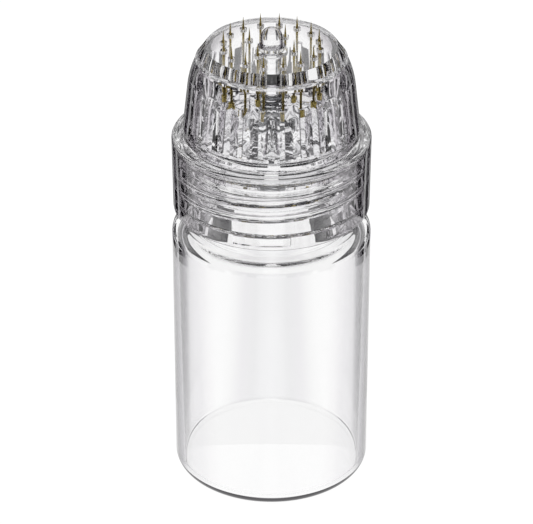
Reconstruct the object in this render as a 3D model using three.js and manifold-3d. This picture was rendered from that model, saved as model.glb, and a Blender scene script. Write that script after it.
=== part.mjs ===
// A microneedle serum applicator: a clear head with gold needles, screwed on a clear glass vial.
// Millimetres, +Z up. The origin is the centre of the vial's foot, on the surface it stands on.
import * as THREE from 'three';
import { mergeVertices } from 'three/addons/utils/BufferGeometryUtils.js';
import Module from 'manifold-3d';

const wasm = await Module();
wasm.setup();

// Clearances
const seatGap = 0.1;
const fitGap = 0.3;
const cutOverrun = 1;

// Vial
const vialDiameter = 24;
const vialWall = 0.9;
const vialFloor = 0.8;
const footRounding = 1.3;
const cavityRounding = 0.8;
const shoulderHeight = 34;
const shoulderRounding = 1.6;
const shoulderThickness = 1.1;
const shoulderWidth = 2.6;
const neckHeight = 8;
const neckWall = 1.2;
const rimRounding = 0.3;

// Screw thread, shared by the neck and the collar
const threadPitch = 2;
const threadDepth = 0.75;
const threadRootWidth = 1.2;
const threadCrestWidth = 0.4;
const threadBury = 0.3;
const threadDrop = 3.7;
const neckThreadTurns = 1;
const collarThreadTurns = 2;

// Neck plug and mouth gasket
const plugWidth = 3;
const plugWall = 0.7;
const plugWebThickness = 1;
const plugFlangeThickness = 0.6;
const plugFlangeInset = 0.2;
const plugReach = 2.5;
const gasketWidth = 2.4;
const gasketThickness = 0.6;

// Screw collar
const collarWall = 1.45;
const collarHeight = 9.6;
const collarDraft = 0.1;
const collarRounding = 0.4;
const lipThickness = 1.2;
const lipHold = 0.5;
const skirtWall = 0.85;
const skirtHeight = 1.6;
const boreTransition = 0.3;
const lugCount = 6;
const lugSpan = 35 * Math.PI / 180;
const lugTurn = -96 * Math.PI / 180;

// Dome shell
const collarTopWidth = 1.3;
const grooveDepth = 0.7;
const grooveWall = 0.9;
const domeFlangeThickness = 0.7;
const domeWall = 0.9;
const domeWallHeight = 6;
const domeTaper = 0.67;
const domeInnerStep = 0.8;
const crownHeight = 5.2;
const crownInset = 2.18;
const crownBulge = 0.42;
const domeRibCount = 24;
const domeRibWidth = 0.5;
const domeRibDepth = 0.45;

// Needle plate and needles
const innerRingShare = 0.354;
const outerNeedleCount = 16;
const innerNeedleCount = 4;
const needleTurn = 13.35 * Math.PI / 180;
const innerTurn = 58.35 * Math.PI / 180;
const plateMargin = 2.03;
const plateThickness = 1.2;
const plateSealThickness = 0.2;
const plateSealWidth = 0.5;
const plateSealOverhang = 0.85;
const needleRadius = 0.14;
const needleExposure = 1.5;
const needleFootRadius = 0.32;
const needleFootHeight = 0.9;
const serumHoleRadius = 0.42;

// Valve seat plate and needle carrier
const seatPlateThickness = 1.2;
const carrierFlangeThickness = 0.8;
const carrierFloor = 0.6;
const carrierHeight = 6.2;
const deckMargin = 1;
const deckThickness = 1.3;
const drumWall = 0.7;
const needleSeatDepth = 1;
const springTubeWall = 0.65;
const springTubePlay = 0.25;
const feedHoleRadius = 0.5;
const feedHoleCount = 4;
const tubeSlotCount = 4;
const tubeSlotWidth = 0.8;
const tubeSlotHeight = 2.2;

// Valve
const nubRadius = 1.3;
const nubRise = 2.3;
const stopRadius = 1.9;
const stopThickness = 0.5;
const stemRadius = 0.95;
const shankRadius = 1.15;
const washerRadius = 1.8;
const washerThickness = 0.4;
const springWireRadius = 0.17;
const springRadius = 1.5;
const springTurns = 5;
const sealRadius = 2.2;
const sealThickness = 0.7;
const pinFootRadius = 1.7;
const pinFootThickness = 0.5;

// Facets
const roundSteps = 40;
const cornerSteps = 4;
const crownSteps = 6;
const smallHoleSteps = 8;
const needleSteps = 8;
const pinSteps = 20;
const threadSteps = 24;
const threadFadeSteps = 4;
const threadEndShare = 0.2;
const springSteps = 8;
const springSides = 5;

// Radii that follow from the sizes above
const vialRadius = vialDiameter / 2;
const cavityRadius = vialRadius - vialWall;
const neckRadius = vialRadius - shoulderWidth;
const neckBoreRadius = neckRadius - neckWall;
const neckCrestRadius = neckRadius + threadDepth;
const collarBoreRadius = neckCrestRadius + fitGap;
const collarCrestRadius = neckRadius + fitGap;
const collarRadius = collarBoreRadius + collarWall;
const skirtBoreRadius = collarRadius - skirtWall;
const domeBaseRadius = collarRadius - collarTopWidth;
const grooveRadius = domeBaseRadius - grooveDepth;
const lipRadius = grooveRadius + fitGap;
const domeFlangeRadius = lipRadius + lipHold;
const flangeBoreRadius = domeFlangeRadius + fitGap;
const domeBoreRadius = grooveRadius - grooveWall;
const seatPlateRadius = domeBoreRadius - fitGap;
const domeWallTopRadius = domeBaseRadius - domeTaper;
const domeTopRadius = domeWallTopRadius - crownInset;
const plateSealRadius = domeTopRadius + plateSealOverhang;
const outerRingRadius = domeTopRadius - plateMargin;
const nubHoleRadius = nubRadius + fitGap;
const innerRingRadius = nubHoleRadius + (outerRingRadius - nubHoleRadius) * innerRingShare;
const drumRadius = outerRingRadius + deckMargin;
const stemBoreRadius = stemRadius + fitGap;
const springTubeBore = washerRadius + springTubePlay;
const plugBoreRadius = neckBoreRadius - plugWidth;
const gasketRadius = collarCrestRadius - fitGap;

// Heights that follow, from the foot up
const rimHeight = shoulderHeight + neckHeight;
const threadBottom = rimHeight - threadDrop;
const plugFlangeBottom = rimHeight + seatGap;
const plugTop = plugFlangeBottom + plugFlangeThickness;
const gasketBottom = plugTop + seatGap;
const headBottom = gasketBottom + gasketThickness + seatGap;
const domeFlangeTop = headBottom + domeFlangeThickness;
const lipBottom = domeFlangeTop + seatGap;
const collarTop = lipBottom + lipThickness;
const collarBottom = collarTop - collarHeight;
const domeWallBottom = collarTop + fitGap;
const crownBottom = domeWallBottom + domeWallHeight;
const headTop = crownBottom + crownHeight;
const plateBottom = headTop - plateThickness;
const plateSealBottom = plateBottom - seatGap - plateSealThickness;
const shellTop = plateSealBottom - seatGap;
const seatPlateTop = headBottom + seatPlateThickness;
const carrierBottom = seatPlateTop + seatGap;
const deckTop = carrierBottom + carrierHeight;
const deckBottom = deckTop - deckThickness;
const needleBottom = deckTop - needleSeatDepth + seatGap;
const needleTip = headTop + needleExposure;
const stopTop = plateBottom - seatGap;
const stopBottom = stopTop - stopThickness;
const shankBottom = deckTop - seatGap;
const washerBottom = shankBottom - seatGap - washerThickness;
const springBottom = carrierBottom + carrierFloor + seatGap;
const springTop = washerBottom - seatGap;
const sealTop = headBottom - seatGap;
const sealBottom = sealTop - sealThickness;
const pinFootTop = sealBottom - seatGap;
const pinBottom = pinFootTop - pinFootThickness;

// Materials
function plainMaterial(color, roughness, metalness, opacity = 1) {
  return new THREE.MeshStandardMaterial({ color, roughness, metalness, opacity, transparent: opacity < 1 });
}
const vialGlass = plainMaterial('#eef1f2', 0.03, 0, 0.35);
const clearPlastic = plainMaterial('#e6e8ea', 0.05, 0, 0.4);
const needleGold = plainMaterial('#a8954a', 0.3, 1);
const springSteel = plainMaterial('#9b9c9e', 0.3, 1);
const softSilicone = plainMaterial('#d9dadb', 0.6, 0, 0.8);

// Merges shared corners, drops empty triangles and turns every face outward
function closedGeometry(source) {
  const bare = source.clone();
  bare.deleteAttribute('normal');
  bare.deleteAttribute('uv');
  const merged = mergeVertices(bare);
  const corners = merged.index.array;
  const kept = [];
  for (let i = 0; i < corners.length; i += 3) {
    const [a, b, c] = [corners[i], corners[i + 1], corners[i + 2]];
    if (a !== b && b !== c && c !== a) kept.push(a, b, c);
  }
  const place = merged.attributes.position;
  const [p, q, r] = [new THREE.Vector3(), new THREE.Vector3(), new THREE.Vector3()];
  let volume = 0;
  for (let i = 0; i < kept.length; i += 3) {
    p.fromBufferAttribute(place, kept[i]);
    q.fromBufferAttribute(place, kept[i + 1]);
    r.fromBufferAttribute(place, kept[i + 2]);
    volume += p.dot(q.cross(r));
  }
  if (volume < 0) kept.reverse();
  merged.setIndex(kept);
  merged.computeVertexNormals();
  return merged;
}

// A closed geometry as a solid that can be joined and cut
function toSolid(source) {
  const geometry = closedGeometry(source);
  const vertProperties = new Float32Array(geometry.attributes.position.array);
  const triVerts = new Uint32Array(geometry.index.array);
  return new wasm.Manifold(new wasm.Mesh({ numProp: 3, vertProperties, triVerts }));
}

function toGeometry(solid) {
  const mesh = solid.getMesh();
  const geometry = new THREE.BufferGeometry();
  geometry.setAttribute('position', new THREE.Float32BufferAttribute(mesh.vertProperties, 3));
  geometry.setIndex([...mesh.triVerts]);
  return closedGeometry(geometry);
}

// Turns an outline of [radius, height] points about the Z axis
function turned(outline, steps = roundSteps) {
  const points = outline.map(([radius, height]) => new THREE.Vector2(radius, height));
  return new THREE.LatheGeometry(points, steps).rotateX(Math.PI / 2);
}

// A ring whose section is a plain rectangle
function flatRing(innerRadius, outerRadius, bottom, top, steps = roundSteps) {
  const outline = [[innerRadius, bottom], [outerRadius, bottom], [outerRadius, top], [innerRadius, top]];
  return turned([...outline, outline[0]], steps);
}

function cylinder(radius, bottom, top, steps) {
  return turned([[0, bottom], [radius, bottom], [radius, top], [0, top]], steps);
}

// Points of a rounded corner about a centre, from one angle to another
function corner(centreRadius, centreHeight, rounding, from, to, steps = cornerSteps) {
  const points = [];
  for (let i = 0; i <= steps; i += 1) {
    const angle = from + (to - from) * i / steps;
    points.push([centreRadius + rounding * Math.cos(angle), centreHeight + rounding * Math.sin(angle)]);
  }
  return points;
}

// Points of a shallow arc between two points, pushed out by its bulge
function bulgedArc([startRadius, startHeight], [endRadius, endHeight], bulge, steps) {
  const [alongRadius, alongHeight] = [endRadius - startRadius, endHeight - startHeight];
  const chord = Math.hypot(alongRadius, alongHeight);
  const points = [];
  for (let i = 0; i <= steps; i += 1) {
    const share = i / steps;
    const push = 4 * bulge * share * (1 - share) / chord;
    points.push([
      startRadius + alongRadius * share + alongHeight * push,
      startHeight + alongHeight * share - alongRadius * push,
    ]);
  }
  return points;
}

// Places evenly spaced round a ring
function ringPlaces(radius, count, turn) {
  const places = [];
  for (let i = 0; i < count; i += 1) {
    const angle = turn + 2 * Math.PI * i / count;
    places.push([radius * Math.cos(angle), radius * Math.sin(angle)]);
  }
  return places;
}

// Cuts the same round hole at every place
function drilled(solid, places, radius, bottom, top) {
  const hole = toSolid(cylinder(radius, bottom, top, smallHoleSteps));
  let cut = solid;
  for (const [x, y] of places) cut = cut.subtract(hole.translate([x, y, 0]));
  return cut;
}

// Joins copies of one rib, turned round the Z axis
function ribbed(solid, rib, count, turn = 0) {
  let joined = solid;
  for (let i = 0; i < count; i += 1) {
    joined = joined.add(rib.rotate([0, 0, (turn + 2 * Math.PI * i / count) * 180 / Math.PI]));
  }
  return joined;
}

// A closed tube from rings of points, capped at both ends
function tubeFromRings(rings) {
  const sides = rings[0].length;
  const positions = rings.flat(2);
  const index = [];
  for (let i = 0; i + 1 < rings.length; i += 1) {
    for (let j = 0; j < sides; j += 1) {
      const next = (j + 1) % sides;
      const [a, b] = [i * sides + j, i * sides + next];
      index.push(a, b, b + sides, a, b + sides, a + sides);
    }
  }
  const last = (rings.length - 1) * sides;
  for (let j = 1; j + 1 < sides; j += 1) {
    index.push(0, j + 1, j, last, last + j, last + j + 1);
  }
  const geometry = new THREE.BufferGeometry();
  geometry.setAttribute('position', new THREE.Float32BufferAttribute(positions, 3));
  geometry.setIndex(index);
  return geometry;
}

// One helical thread ridge that fades into the wall at both ends
function threadRidge(buriedRadius, crestRadius, startHeight, turns) {
  const rings = [];
  const steps = turns * threadSteps;
  for (let i = 0; i <= steps; i += 1) {
    const angle = 2 * Math.PI * i / threadSteps;
    const height = startHeight + threadPitch * i / threadSteps;
    const fadeShare = Math.min(1, Math.max(threadEndShare, Math.min(i, steps - i) / threadFadeSteps));
    const reach = buriedRadius + (crestRadius - buriedRadius) * fadeShare;
    const section = [
      [buriedRadius, height - threadRootWidth / 2],
      [reach, height - threadCrestWidth / 2],
      [reach, height + threadCrestWidth / 2],
      [buriedRadius, height + threadRootWidth / 2],
    ];
    rings.push(section.map(([radius, z]) => [radius * Math.cos(angle), radius * Math.sin(angle), z]));
  }
  return toSolid(tubeFromRings(rings));
}

// Glass vial: floor, straight wall, rounded shoulder and threaded neck
function vialGeometry() {
  const cavityTop = shoulderHeight - shoulderThickness;
  const body = turned([
    [0, 0],
    ...corner(vialRadius - footRounding, footRounding, footRounding, -Math.PI / 2, 0),
    ...corner(vialRadius - shoulderRounding, shoulderHeight - shoulderRounding, shoulderRounding, 0, Math.PI / 2),
    [neckRadius, shoulderHeight],
    ...corner(neckRadius - rimRounding, rimHeight - rimRounding, rimRounding, 0, Math.PI / 2, 2),
    [neckBoreRadius, rimHeight],
    [neckBoreRadius, cavityTop],
    ...corner(cavityRadius - cavityRounding, cavityTop - cavityRounding, cavityRounding, Math.PI / 2, 0),
    ...corner(cavityRadius - cavityRounding, vialFloor + cavityRounding, cavityRounding, 0, -Math.PI / 2),
    [0, vialFloor],
  ]);
  const ridgeStart = threadBottom + threadPitch / 2;
  const ridge = threadRidge(neckRadius - threadBury, neckCrestRadius, ridgeStart, neckThreadTurns);
  return toGeometry(toSolid(body).add(ridge));
}

// Plug in the vial's neck: an inner bore tube, an outer sleeve, a web and a flange on the rim
function neckPlugGeometry() {
  const sleeveRadius = neckBoreRadius - fitGap;
  const webBottom = plugTop - plugWebThickness;
  const footHeight = rimHeight - plugReach;
  const outline = [
    [plugBoreRadius, footHeight],
    [plugBoreRadius + plugWall, footHeight],
    [plugBoreRadius + plugWall, webBottom],
    [sleeveRadius - plugWall, webBottom],
    [sleeveRadius - plugWall, footHeight],
    [sleeveRadius, footHeight],
    [sleeveRadius, plugFlangeBottom],
    [neckRadius - plugFlangeInset, plugFlangeBottom],
    [neckRadius - plugFlangeInset, plugTop],
    [plugBoreRadius, plugTop],
  ];
  return closedGeometry(turned([...outline, outline[0]]));
}

// Screw collar: smooth outside, inside thread, foot skirt with lugs, lip over the dome's flange
function collarGeometry() {
  const skirtTop = collarBottom + skirtHeight;
  const footRadius = collarRadius - collarDraft;
  const outline = [
    [skirtBoreRadius, collarBottom],
    [footRadius - collarRounding, collarBottom],
    [footRadius, collarBottom + collarRounding],
    ...corner(collarRadius - collarRounding, collarTop - collarRounding, collarRounding, 0, Math.PI / 2, 3),
    [lipRadius, collarTop],
    [lipRadius, lipBottom],
    [flangeBoreRadius, lipBottom],
    [flangeBoreRadius, headBottom - fitGap],
    [collarBoreRadius, headBottom - fitGap - boreTransition],
    [collarBoreRadius, skirtTop + boreTransition],
    [skirtBoreRadius, skirtTop],
  ];
  const shell = toSolid(turned([...outline, outline[0]]));
  const buriedRadius = collarBoreRadius + threadBury;
  const ridge = threadRidge(buriedRadius, collarCrestRadius, threadBottom, collarThreadTurns);
  const lugShape = new THREE.Shape();
  lugShape.absarc(0, 0, skirtBoreRadius + threadBury, -lugSpan / 2, lugSpan / 2, false);
  lugShape.absarc(0, 0, collarBoreRadius, lugSpan / 2, -lugSpan / 2, true);
  const lugHeight = skirtHeight + boreTransition - collarRounding;
  const lug = new THREE.ExtrudeGeometry(lugShape, { depth: lugHeight, bevelEnabled: false, curveSegments: 5 });
  lug.translate(0, 0, collarBottom + collarRounding);
  return toGeometry(ribbed(shell.add(ridge), toSolid(lug), lugCount, lugTurn));
}

// The crown's arc, drawn in by an inset
function crownArc(inset) {
  return bulgedArc([domeWallTopRadius - inset, crownBottom], [domeTopRadius - inset, headTop], crownBulge, crownSteps);
}

// Dome shell: foot flange, snap groove, tapered wall, open crown, and ribs inside
function domeGeometry() {
  const innerFootHeight = domeWallBottom + domeInnerStep;
  const innerFootRadius = domeBaseRadius - domeWall;
  const innerArc = crownArc(domeWall);
  const outline = [
    [domeBoreRadius, headBottom],
    [domeFlangeRadius, headBottom],
    [domeFlangeRadius, domeFlangeTop],
    [grooveRadius, domeFlangeTop],
    [grooveRadius, domeWallBottom],
    [domeBaseRadius, domeWallBottom],
    ...crownArc(0),
    ...innerArc.toReversed(),
    [innerFootRadius, innerFootHeight],
    [domeBoreRadius, domeWallBottom],
  ];
  const shell = toSolid(turned([...outline, outline[0]])).trimByPlane([0, 0, -1], -shellTop);
  const ribLine = [[innerFootRadius, innerFootHeight + fitGap], innerArc[0], innerArc[1]];
  const ribOutline = [
    ...ribLine.map(([radius, height]) => new THREE.Vector2(radius + domeWall / 2, height)),
    ...ribLine.map(([radius, height]) => new THREE.Vector2(radius - domeRibDepth, height)).reverse(),
  ];
  const rib = new THREE.ExtrudeGeometry(new THREE.Shape(ribOutline), { depth: domeRibWidth, bevelEnabled: false });
  rib.translate(0, 0, -domeRibWidth / 2).rotateX(Math.PI / 2);
  return toGeometry(ribbed(shell, toSolid(rib), domeRibCount, Math.PI / domeRibCount));
}

const outerPlaces = ringPlaces(outerRingRadius, outerNeedleCount, needleTurn);
const innerPlaces = ringPlaces(innerRingRadius, innerNeedleCount, innerTurn);
const needlePlaces = [...outerPlaces, ...innerPlaces];

// Needle plate: the crown's top slice, with a serum hole round each needle and the nub's hole in the middle
function plateGeometry() {
  const outline = [[nubHoleRadius, crownBottom], ...crownArc(0), [nubHoleRadius, headTop]];
  const blank = toSolid(turned([...outline, outline[0]])).trimByPlane([0, 0, 1], plateBottom);
  return toGeometry(drilled(blank, needlePlaces, serumHoleRadius, plateBottom - cutOverrun, headTop + cutOverrun));
}

// One needle: a foot that sits in the deck, a straight shaft and a long point
function needleGeometry() {
  const length = needleTip - needleBottom;
  return closedGeometry(turned([
    [0, 0],
    [needleFootRadius, 0],
    [needleFootRadius, needleFootHeight],
    [needleRadius, needleFootHeight + needleRadius],
    [needleRadius, length - needleExposure],
    [0, length],
  ], needleSteps));
}

// Needle carrier: flange and floor, thin drum, deck with needle seats, slotted spring tube
function carrierGeometry() {
  const floorTop = carrierBottom + carrierFloor;
  const flangeTop = carrierBottom + carrierFlangeThickness;
  const chamberRadius = drumRadius - drumWall;
  const tubeRadius = springTubeBore + springTubeWall;
  const outline = [
    [stemBoreRadius, carrierBottom],
    [seatPlateRadius, carrierBottom],
    [seatPlateRadius, flangeTop],
    [drumRadius, flangeTop],
    [drumRadius, deckTop],
    [springTubeBore, deckTop],
    [springTubeBore, floorTop],
    [stemBoreRadius, floorTop],
  ];
  const body = toSolid(turned([...outline, outline[0]]));
  const chamber = toSolid(flatRing(tubeRadius, chamberRadius, floorTop, deckBottom));
  const slot = new THREE.BoxGeometry(springTubeWall * 2, tubeSlotWidth, tubeSlotHeight);
  slot.translate(springTubeBore + springTubeWall / 2, 0, floorTop + tubeSlotHeight);
  let carrier = body.subtract(chamber);
  for (let i = 0; i < tubeSlotCount; i += 1) {
    carrier = carrier.subtract(toSolid(slot).rotate([0, 0, 45 + 360 * i / tubeSlotCount]));
  }
  const feedPlaces = ringPlaces((innerRingRadius + outerRingRadius) / 2, feedHoleCount, needleTurn);
  carrier = drilled(carrier, feedPlaces, feedHoleRadius, deckBottom - cutOverrun, deckTop + cutOverrun);
  const seatBottom = deckTop - needleSeatDepth;
  carrier = drilled(carrier, needlePlaces, serumHoleRadius, seatBottom, deckTop + cutOverrun);
  return toGeometry(carrier);
}

// Valve pin: round-ended nub, stop, shank, stem and foot
function pinGeometry() {
  const nubCentre = headTop + nubRise - nubRadius;
  return closedGeometry(turned([
    [0, pinBottom],
    [pinFootRadius, pinBottom],
    [pinFootRadius, pinFootTop],
    [stemRadius, pinFootTop],
    [stemRadius, shankBottom],
    [shankRadius, shankBottom],
    [shankRadius, stopBottom],
    [stopRadius, stopBottom],
    [stopRadius, stopTop],
    ...corner(0, nubCentre, nubRadius, 0, Math.PI / 2, crownSteps).map(([radius, height], i) => (
      i === 0 ? [nubRadius, stopTop] : [Math.max(radius, 0), height]
    )),
  ], pinSteps));
}

// Valve spring: one wire, straight at both ends, coiled between the carrier's floor and the washer
function springGeometry() {
  const lead = 2 * springWireRadius;
  const coilHeight = springTop - springBottom - 2 * lead;
  const steps = springTurns * springSteps;
  const path = [new THREE.Vector3(springRadius, 0, springBottom)];
  for (let i = 0; i <= steps; i += 1) {
    const angle = 2 * Math.PI * i / springSteps;
    const height = springBottom + lead + coilHeight * i / steps;
    path.push(new THREE.Vector3(springRadius * Math.cos(angle), springRadius * Math.sin(angle), height));
  }
  path.push(new THREE.Vector3(path.at(-1).x, path.at(-1).y, springTop));
  const rings = path.map((point, i) => {
    const before = path[Math.max(i - 1, 0)];
    const after = path[Math.min(i + 1, path.length - 1)];
    const along = after.clone().sub(before).normalize();
    const outward = new THREE.Vector3(point.x, point.y, 0).normalize();
    const across = along.clone().cross(outward).normalize();
    return Array.from({ length: springSides }, (_, j) => {
      const angle = 2 * Math.PI * j / springSides;
      const offset = outward.clone().multiplyScalar(springWireRadius * Math.cos(angle));
      offset.addScaledVector(across, springWireRadius * Math.sin(angle));
      return point.clone().add(offset).toArray();
    });
  });
  let leastGap = Infinity;
  for (let i = 0; i < path.length; i += 1) {
    for (let j = i + springSteps / 2; j < path.length; j += 1) {
      leastGap = Math.min(leastGap, path[i].distanceTo(path[j]) - 2 * springWireRadius);
    }
  }
  console.log(`valve spring: least gap to itself ${leastGap.toFixed(3)} mm`);
  return closedGeometry(tubeFromRings(rings));
}

// Assembly
const applicator = new THREE.Group();
function addPiece(parent, name, geometry, material) {
  const piece = new THREE.Mesh(geometry, material);
  piece.name = name;
  parent.add(piece);
  return piece;
}

const bottle = new THREE.Group();
addPiece(bottle, 'vial', vialGeometry(), vialGlass);
addPiece(bottle, 'neck_plug', neckPlugGeometry(), clearPlastic);

const head = new THREE.Group();
addPiece(head, 'dome_shell', domeGeometry(), clearPlastic);
addPiece(head, 'needle_plate', plateGeometry(), clearPlastic);
addPiece(head, 'needle_carrier', carrierGeometry(), clearPlastic);
const seatPlate = flatRing(stemBoreRadius, seatPlateRadius, headBottom, seatPlateTop);
addPiece(head, 'valve_seat_plate', closedGeometry(seatPlate), clearPlastic);
const gasket = flatRing(gasketRadius - gasketWidth, gasketRadius, gasketBottom, gasketBottom + gasketThickness);
addPiece(head, 'mouth_gasket', closedGeometry(gasket), softSilicone);
const sealBore = plateSealRadius - plateSealWidth;
const plateSeal = flatRing(sealBore, plateSealRadius, plateSealBottom, plateSealBottom + plateSealThickness);
addPiece(head, 'plate_seal', closedGeometry(plateSeal), softSilicone);
addPiece(head, 'valve_spring', springGeometry(), springSteel);

const needle = needleGeometry();
needlePlaces.forEach(([x, y], i) => {
  const piece = addPiece(head, `needle_${String(i + 1).padStart(2, '0')}`, needle, needleGold);
  piece.position.set(x, y, needleBottom);
});

const valve = new THREE.Group();
addPiece(valve, 'valve_pin', pinGeometry(), clearPlastic);
const washer = flatRing(stemRadius + seatGap, washerRadius, washerBottom, washerBottom + washerThickness, pinSteps);
addPiece(valve, 'spring_washer', closedGeometry(washer), springSteel);
const seal = flatRing(stemRadius + seatGap, sealRadius, sealBottom, sealTop, pinSteps);
addPiece(valve, 'valve_seal', closedGeometry(seal), softSilicone);

const collar = new THREE.Group();
addPiece(collar, 'screw_collar', collarGeometry(), clearPlastic);

applicator.add(bottle, head, valve, collar);
export default applicator;
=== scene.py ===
# Clear microneedle serum applicator on a pale floor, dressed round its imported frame.
import math
import bpy
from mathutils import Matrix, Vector


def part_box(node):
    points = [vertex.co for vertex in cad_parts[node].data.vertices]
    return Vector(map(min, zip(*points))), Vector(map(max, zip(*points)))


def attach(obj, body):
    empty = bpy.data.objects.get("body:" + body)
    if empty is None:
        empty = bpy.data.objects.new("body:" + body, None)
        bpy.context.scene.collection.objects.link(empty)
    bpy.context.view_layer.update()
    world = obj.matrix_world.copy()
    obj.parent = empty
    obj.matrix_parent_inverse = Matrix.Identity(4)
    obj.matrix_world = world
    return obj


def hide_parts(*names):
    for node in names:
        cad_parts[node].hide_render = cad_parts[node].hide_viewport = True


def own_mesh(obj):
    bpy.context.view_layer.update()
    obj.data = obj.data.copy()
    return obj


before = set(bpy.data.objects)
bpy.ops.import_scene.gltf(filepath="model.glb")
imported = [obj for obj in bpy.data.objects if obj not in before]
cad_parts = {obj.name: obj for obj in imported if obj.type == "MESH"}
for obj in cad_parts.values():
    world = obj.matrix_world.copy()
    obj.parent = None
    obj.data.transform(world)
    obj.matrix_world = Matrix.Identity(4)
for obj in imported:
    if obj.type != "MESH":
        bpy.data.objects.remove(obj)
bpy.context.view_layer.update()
print("frame loaded:", len(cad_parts), "nodes")

mm = 0.001
fullTurn = 2 * math.pi
weldGap = 0.0005    # mm: points closer than this are one point


# general helpers

def deselectAll():
    if bpy.context.object and bpy.context.object.mode != "OBJECT":
        bpy.ops.object.mode_set(mode="OBJECT")
    bpy.ops.object.select_all(action="DESELECT")


def makeActive(piece):
    deselectAll()
    piece.select_set(True)
    bpy.context.view_layer.objects.active = piece


def linearColour(hexText):
    # an sRGB hex colour as linear red, green, blue and alpha
    channels = []
    for i in (1, 3, 5):
        value = int(hexText[i:i + 2], 16) / 255
        channels.append(value / 12.92 if value <= 0.04045 else ((value + 0.055) / 1.055) ** 2.4)
    return (*channels, 1.0)


def cornerPoints(centreR, centreZ, radius, fromDeg, toDeg, steps=3):
    # points of a rounded corner in a turned outline
    points = []
    for i in range(steps + 1):
        angle = math.radians(fromDeg + (toDeg - fromDeg) * i / steps)
        points.append((centreR + radius * math.cos(angle), centreZ + radius * math.sin(angle)))
    return points


def bulgedPoints(start, end, bulge, steps):
    # points of a shallow arc between two outline points
    alongR, alongZ = end[0] - start[0], end[1] - start[1]
    chord = math.hypot(alongR, alongZ)
    points = []
    for i in range(steps + 1):
        share = i / steps
        push = 4 * bulge * share * (1 - share) / chord
        points.append((start[0] + alongR * share + alongZ * push, start[1] + alongZ * share - alongR * push))
    return points


def ringPlaces(radius, count, turnDeg):
    # evenly spaced places on a circle
    places = []
    for i in range(count):
        angle = math.radians(turnDeg) + fullTurn * i / count
        places.append((radius * math.cos(angle), radius * math.sin(angle)))
    return places


def turnedPiece(name, outline, steps):
    # an outline of (radius, height) in millimetres, spun once round the vertical axis
    deselectAll()
    bpy.ops.mesh.primitive_circle_add(vertices=len(outline), radius=mm, fill_type="NOTHING")
    piece = bpy.context.object
    piece.name = name
    for vertex, (radius, height) in zip(piece.data.vertices, outline):
        vertex.co = (radius * mm, 0, height * mm)
        vertex.select = False
    onAxis = [edge for edge in piece.data.edges if all(outline[i][0] == 0 for i in edge.vertices)]
    for edge in piece.data.edges:
        edge.select = edge in onAxis
    bpy.ops.object.mode_set(mode="EDIT")
    bpy.ops.mesh.select_mode(type="EDGE")
    if onAxis:
        bpy.ops.mesh.delete(type="EDGE")
    bpy.ops.mesh.select_all(action="SELECT")
    bpy.ops.mesh.spin(steps=steps, angle=fullTurn, center=(0, 0, 0), axis=(0, 0, 1))
    closeMesh()
    return piece


def closeMesh():
    # in edit mode: welds double points, turns the faces outward and leaves edit mode
    bpy.ops.mesh.select_all(action="SELECT")
    bpy.ops.mesh.remove_doubles(threshold=weldGap * mm)
    bpy.ops.mesh.normals_make_consistent(inside=False)
    bpy.ops.object.mode_set(mode="OBJECT")


def smoothPiece(piece, sharpDeg=32):
    makeActive(piece)
    bpy.ops.object.shade_smooth_by_angle(angle=math.radians(sharpDeg))


def combine(piece, other, operation):
    # cuts the other object out of a piece or joins it on, and removes it
    makeActive(piece)
    change = piece.modifiers.new("change", "BOOLEAN")
    change.operation = operation
    change.solver = "EXACT"
    change.object = other
    bpy.ops.object.modifier_apply(modifier=change.name)
    bpy.data.objects.remove(other, do_unlink=True)


def joinedCutters(cutters):
    deselectAll()
    for cutter in cutters:
        cutter.select_set(True)
    bpy.context.view_layer.objects.active = cutters[0]
    if len(cutters) > 1:
        bpy.ops.object.join()
    makeActive(cutters[0])
    bpy.ops.object.transform_apply(location=True, rotation=True, scale=True)
    return cutters[0]


def holeCutters(places, radius, lowZ, highZ, sides=24):
    # one round cutter for each place, joined into one object
    cutters = []
    for x, y in places:
        deselectAll()
        bpy.ops.mesh.primitive_cylinder_add(
            vertices=sides, radius=radius * mm, depth=(highZ - lowZ) * mm,
            location=(x * mm, y * mm, (lowZ + highZ) / 2 * mm),
        )
        cutters.append(bpy.context.object)
    return joinedCutters(cutters)


def selectWall(piece, count, turnDeg, halfAngle, radii, heights):
    # selects the inner wall's faces that lie near evenly spaced angles
    pitch = fullTurn / count
    for vertex in piece.data.vertices:
        vertex.select = False
    for edge in piece.data.edges:
        edge.select = False
    for face in piece.data.polygons:
        centre = face.center
        radius = math.hypot(centre.x, centre.y) / mm
        turn = (math.atan2(centre.y, centre.x) - math.radians(turnDeg) + pitch / 2) % pitch - pitch / 2
        inward = face.normal.x * centre.x + face.normal.y * centre.y <= 0
        onWall = radii[0] < radius < radii[1] and heights[0] < centre.z / mm < heights[1]
        face.select = inward and onWall and abs(turn) < halfAngle


def growOut(piece, depth):
    # pushes the selected faces out of their wall
    makeActive(piece)
    bpy.ops.object.mode_set(mode="EDIT")
    bpy.ops.mesh.select_mode(type="FACE")
    bpy.ops.mesh.extrude_region_shrink_fatten(
        MESH_OT_extrude_region={"use_normal_flip": False},
        TRANSFORM_OT_shrink_fatten={"value": depth * mm},
    )
    bpy.ops.object.mode_set(mode="OBJECT")


def finishPiece(piece, material, body, node):
    piece.data.materials.clear()
    piece.data.materials.append(material)
    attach(piece, body)
    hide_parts(node)
    return piece


# materials

def setInputs(tree, node, inputs):
    # an input takes a socket, a node's first output, a hex colour or a plain value
    for key, value in inputs.items():
        if isinstance(value, bpy.types.Node):
            value = value.outputs[0]
        if isinstance(value, bpy.types.NodeSocket):
            tree.links.new(value, node.inputs[key])
        else:
            node.inputs[key].default_value = linearColour(value) if isinstance(value, str) else value


def addNode(tree, kind, inputs=None, **settings):
    # adds one node with its settings, and links or sets its inputs
    node = tree.nodes.new(kind)
    for name, value in settings.items():
        setattr(node, name, value)
    setInputs(tree, node, inputs or {})
    return node


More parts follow.
